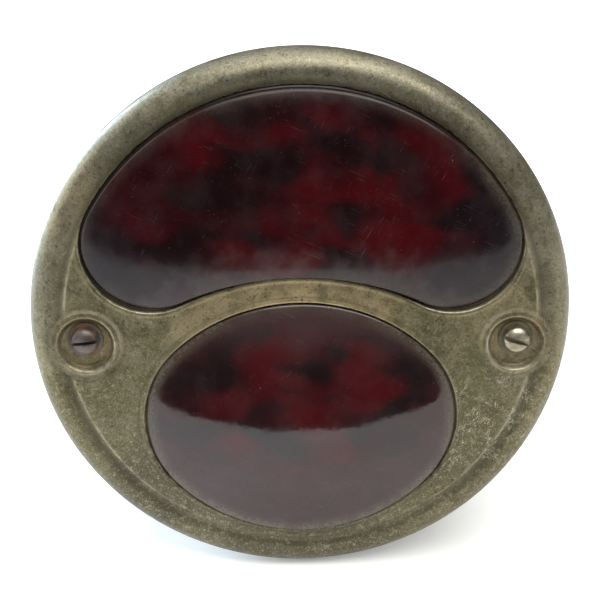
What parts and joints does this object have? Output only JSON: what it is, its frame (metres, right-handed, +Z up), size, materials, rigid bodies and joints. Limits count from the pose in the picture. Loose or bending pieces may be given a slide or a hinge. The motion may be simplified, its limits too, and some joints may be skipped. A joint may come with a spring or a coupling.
{
  "type": "tail light",
  "caption": "Round metal stop and tail lamp: a rear-mounted drum with a plate window and bayonet bulbs, closed by a screwed door holding a kidney-shaped and an oval red lens.",
  "frame": {"origin": "centre of the drum's flat rear mounting face, midway between the two mounting studs", "axes": "-Y is the way the lenses look, +Y the way the mounting studs stand out of the rear face, +Z up, +X to the right for someone looking at the lenses"},
  "size_m": [0.108, 0.0852, 0.108],
  "materials": {
    "tarnished_nickel": "worn, tarnished nickel plate over brass",
    "drum_nickel": "dull tarnished nickel plate",
    "zinc_steel": "dull plated steel",
    "stud_steel": "dull plated steel thread",
    "old_brass": "aged brass",
    "contact_brass": "bright brass",
    "bulb_brass": "thin drawn brass",
    "fibre": "pressed red-brown fibre",
    "bright_tin": "bright tinned sheet",
    "rivet_metal": "dull rivet metal",
    "clear_glass": "clear pressed glass",
    "bulb_glass": "thin blown glass",
    "black_glass": "black glass insulator",
    "tungsten": "fine wire",
    "spring_steel": "spring wire",
    "red_wire_cover": "cloth and rubber covered wire",
    "black_wire_cover": "cloth and rubber covered wire",
    "ruby_glass": "dark ruby pressed glass",
    "ruby_glass_tail": "dark ruby pressed glass",
    "cork": "pressed cork",
    "rusty_screw": "worn plating with rust",
    "bright_screw": "worn nickel plate"
  },
  "bodies": {
    "housing": {"drum_shell": "drum_nickel", "stud_plate": "zinc_steel", "mounting_studs": "stud_steel", "connector_shell": "old_brass", "connector_insert": "fibre", "connector_contacts": "contact_brass", "socket_plate": "bright_tin", "plate_posts": "zinc_steel", "plate_screws": "zinc_steel", "light_divider": "bright_tin", "divider_rivets": "rivet_metal", "screw_lugs": "zinc_steel", "lug_rivets": "rivet_metal", "plate_window": "clear_glass", "window_frame": "zinc_steel", "window_rivets": "rivet_metal", "stop_lead": "red_wire_cover", "tail_lead": "black_wire_cover", "stop_socket": "old_brass", "tail_socket": "old_brass", "stop_socket_washer": "fibre", "tail_socket_washer": "fibre", "stop_contact_spring": "spring_steel", "tail_contact_spring": "spring_steel"},
    "stop_contact": {"stop_contact_disc": "fibre", "stop_contact_button": "contact_brass"},
    "tail_contact": {"tail_contact_disc": "fibre", "tail_contact_button": "contact_brass"},
    "stop_bulb": {"stop_bulb_base": "bulb_brass", "stop_bulb_insulator": "black_glass", "stop_bulb_glass": "bulb_glass", "stop_bulb_stem": "bulb_glass", "stop_filament": "tungsten"},
    "tail_bulb": {"tail_bulb_base": "bulb_brass", "tail_bulb_insulator": "black_glass", "tail_bulb_glass": "bulb_glass", "tail_bulb_stem": "bulb_glass", "tail_filament": "tungsten"},
    "door": {"lens_door": "tarnished_nickel", "stop_lens": "ruby_glass", "tail_lens": "ruby_glass_tail", "stop_lens_gasket": "cork", "tail_lens_gasket": "cork", "lens_retainer": "zinc_steel", "retainer_posts": "tarnished_nickel", "retainer_screws": "rivet_metal", "door_gasket": "cork"},
    "left_washer": {"left_screw_washer": "rusty_screw"},
    "left_screw": {"left_door_screw": "rusty_screw"},
    "right_washer": {"right_screw_washer": "bright_screw"},
    "right_screw": {"right_door_screw": "bright_screw"}
  },
  "joints": [
    {"name": "door_lift_off", "type": "slide", "parent": "housing", "child": "door", "axis": [0, -1, 0], "range_m": [0, 0.06]},
    {"name": "left_screw_travel", "type": "slide", "parent": "door", "child": "left_washer", "axis": [0, -1, 0], "range_m": [0, 0.00715]},
    {"name": "left_screw_turn", "type": "hinge", "parent": "left_washer", "child": "left_screw", "pos_m": [-0.0428, -0.0609, -0.003], "axis": [0, -1, 0], "range_deg": [0, 3240]},
    {"name": "right_screw_travel", "type": "slide", "parent": "door", "child": "right_washer", "axis": [0, -1, 0], "range_m": [0, 0.00715]},
    {"name": "right_screw_turn", "type": "hinge", "parent": "right_washer", "child": "right_screw", "pos_m": [0.0428, -0.0609, -0.003], "axis": [0, -1, 0], "range_deg": [0, 3240]},
    {"name": "stop_bulb_push", "type": "slide", "parent": "housing", "child": "stop_contact", "axis": [0, 1, 0], "range_m": [0, 0.002], "stiffness_N_per_m": 3000, "springref_m": -0.001, "deforming": ["stop_contact_spring"]},
    {"name": "stop_bulb_twist", "type": "hinge", "parent": "stop_contact", "child": "stop_bulb", "pos_m": [0, -0.02, 0.027], "axis": [0, -1, 0], "range_deg": [0, 25]},
    {"name": "tail_bulb_push", "type": "slide", "parent": "housing", "child": "tail_contact", "axis": [0, 1, 0], "range_m": [0, 0.002], "stiffness_N_per_m": 3000, "springref_m": -0.001, "deforming": ["tail_contact_spring"]},
    {"name": "tail_bulb_twist", "type": "hinge", "parent": "tail_contact", "child": "tail_bulb", "pos_m": [0, -0.02, -0.0198], "axis": [0, -1, 0], "range_deg": [0, 25]}
  ],
  "couplings": [
    {"joint": "left_screw_turn", "follows": "left_screw_travel", "rad_per_m": 7915.8},
    {"joint": "right_screw_turn", "follows": "right_screw_travel", "rad_per_m": 7915.8}
  ]
}
